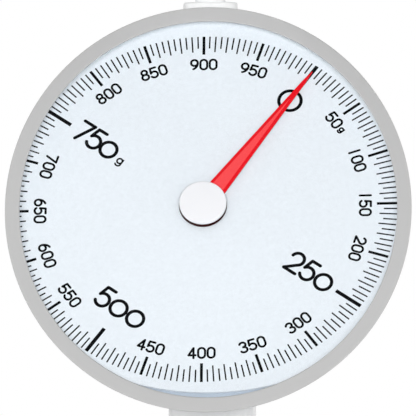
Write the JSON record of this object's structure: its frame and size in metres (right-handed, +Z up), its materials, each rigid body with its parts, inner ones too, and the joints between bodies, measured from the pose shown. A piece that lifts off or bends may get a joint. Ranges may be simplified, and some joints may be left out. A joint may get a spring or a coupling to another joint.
{
  "type": "dial kitchen scale",
  "caption": "Mechanical kitchen scale: white drum with a slanted round dial, red pointer and grey ring on a pedestal, and a lift-off steel pan on a stem that drives the pointer.",
  "frame": {"origin": "on the floor, under the middle of the weighing pan", "axes": "+Z up through the pan's stem, -Y towards the viewer of the dial, +X to that viewer's right"},
  "size_m": [0.18, 0.18, 0.1956],
  "materials": {
    "white_enamel": "smooth white enamel",
    "white_plastic": "satin white moulding",
    "grey_plastic": "smooth light grey moulding",
    "clear_lens": "clear acrylic sheet",
    "dial_white": "pale bluish white print ground",
    "pale_blue_grey": "blue-grey paint",
    "pointer_red": "red paint",
    "cap_white": "white moulding",
    "black_rubber": "black rubber",
    "steel": "plated steel",
    "spring_steel": "oiled spring wire",
    "brass": "turned brass",
    "nylon": "natural nylon",
    "pan_steel": "brushed stainless steel"
  },
  "bodies": {
    "housing": {"drum_shell": "white_enamel", "rear_cover": "white_enamel", "cover_screw_1": "steel", "cover_screw_2": "steel", "cover_screw_3": "steel", "chassis_screw_upper": "steel", "chassis_screw_lower": "steel", "bezel_ring": "grey_plastic", "bezel_screw_1": "steel", "bezel_screw_2": "steel", "bezel_screw_3": "steel", "lens_gasket": "black_rubber", "dial_lens": "clear_lens", "lens_spacer": "white_plastic", "dial_plate": "dial_white", "movement_plate": "pale_blue_grey", "front_bush": "brass", "rear_bush": "brass", "bridge_plate": "steel", "bridge_screw_left": "steel", "bridge_screw_right": "steel", "pillar_left": "steel", "pillar_right": "steel", "rack_guide": "nylon", "chassis": "steel", "upper_pivot_pin": "steel", "lower_pivot_pin": "steel", "stem_collar": "white_plastic", "pedestal": "white_enamel", "foot_plate": "white_enamel", "pedestal_bolt_front": "steel", "pedestal_bolt_rear": "steel", "pedestal_nut_front": "steel", "pedestal_nut_rear": "steel", "rubber_foot_front_left": "black_rubber", "rubber_foot_front_right": "black_rubber", "rubber_foot_rear_left": "black_rubber", "rubber_foot_rear_right": "black_rubber", "overload_stop": "black_rubber"},
    "load_frame": {"load_carrier": "steel", "carrier_pin_upper": "steel", "carrier_pin_lower": "steel", "pan_stem": "white_enamel", "pan_seat": "white_plastic", "seat_screw": "steel"},
    "pan": {"weighing_pan": "pan_steel"},
    "rack_slide": {"rack": "brass"},
    "pointer_shaft": {"pinion_arbor": "steel", "pointer": "pointer_red", "pointer_cap": "cap_white"},
    "upper_link": {"upper_lever": "steel"},
    "lower_link": {"lower_lever": "steel"},
    "hanger": {"spring_hanger": "steel", "main_spring_left": "spring_steel", "main_spring_right": "spring_steel"},
    "zero_adjuster": {"zero_shaft": "steel", "zero_knob": "grey_plastic"}
  },
  "joints": [
    {"name": "pan_travel", "type": "slide", "parent": "housing", "child": "load_frame", "axis": [0, 0, -1], "range_m": [0, 0.01399], "stiffness_N_per_m": 701, "springref_m": -0.0063, "deforming": ["main_spring_left", "main_spring_right"]},
    {"name": "pan_lift", "type": "slide", "parent": "load_frame", "child": "pan", "axis": [0, 0, 1], "range_m": [0, 0.04]},
    {"name": "rack_travel", "type": "slide", "parent": "housing", "child": "rack_slide", "axis": [0, -0.454, -0.891], "range_m": [0, 0.01571]},
    {"name": "pointer_turn", "type": "hinge", "parent": "housing", "child": "pointer_shaft", "pos_m": [-0.0019, -0.04383, 0.088], "axis": [0, 0.891, -0.454], "range_deg": [0, 360]},
    {"name": "upper_lever_swing", "type": "hinge", "parent": "housing", "child": "upper_link", "pos_m": [0, 0.03735, 0.103], "axis": [1, 0, 0], "range_deg": [0, 21.23]},
    {"name": "lower_lever_swing", "type": "hinge", "parent": "housing", "child": "lower_link", "pos_m": [0, 0.03735, 0.061], "axis": [1, 0, 0], "range_deg": [0, 21.23]},
    {"name": "zero_turn", "type": "hinge", "parent": "housing", "child": "zero_adjuster", "pos_m": [0, 0, 0.126], "axis": [0, -1, 0], "range_deg": [-40, 40]},
    {"name": "hanger_travel", "type": "slide", "parent": "housing", "child": "hanger", "axis": [0, 0, 1], "range_m": [-0.00161, 0.00161], "deforming": ["main_spring_left", "main_spring_right"]}
  ],
  "couplings": [
    {"joint": "rack_travel", "follows": "pan_travel", "ratio": 1.1223},
    {"joint": "pointer_turn", "follows": "pan_travel", "rad_per_m": 448.93},
    {"joint": "upper_lever_swing", "follows": "pan_travel", "rad_per_m": 26.467},
    {"joint": "lower_lever_swing", "follows": "pan_travel", "rad_per_m": 26.467},
    {"joint": "hanger_travel", "follows": "zero_turn", "m_per_rad": 0.0023018}
  ]
}
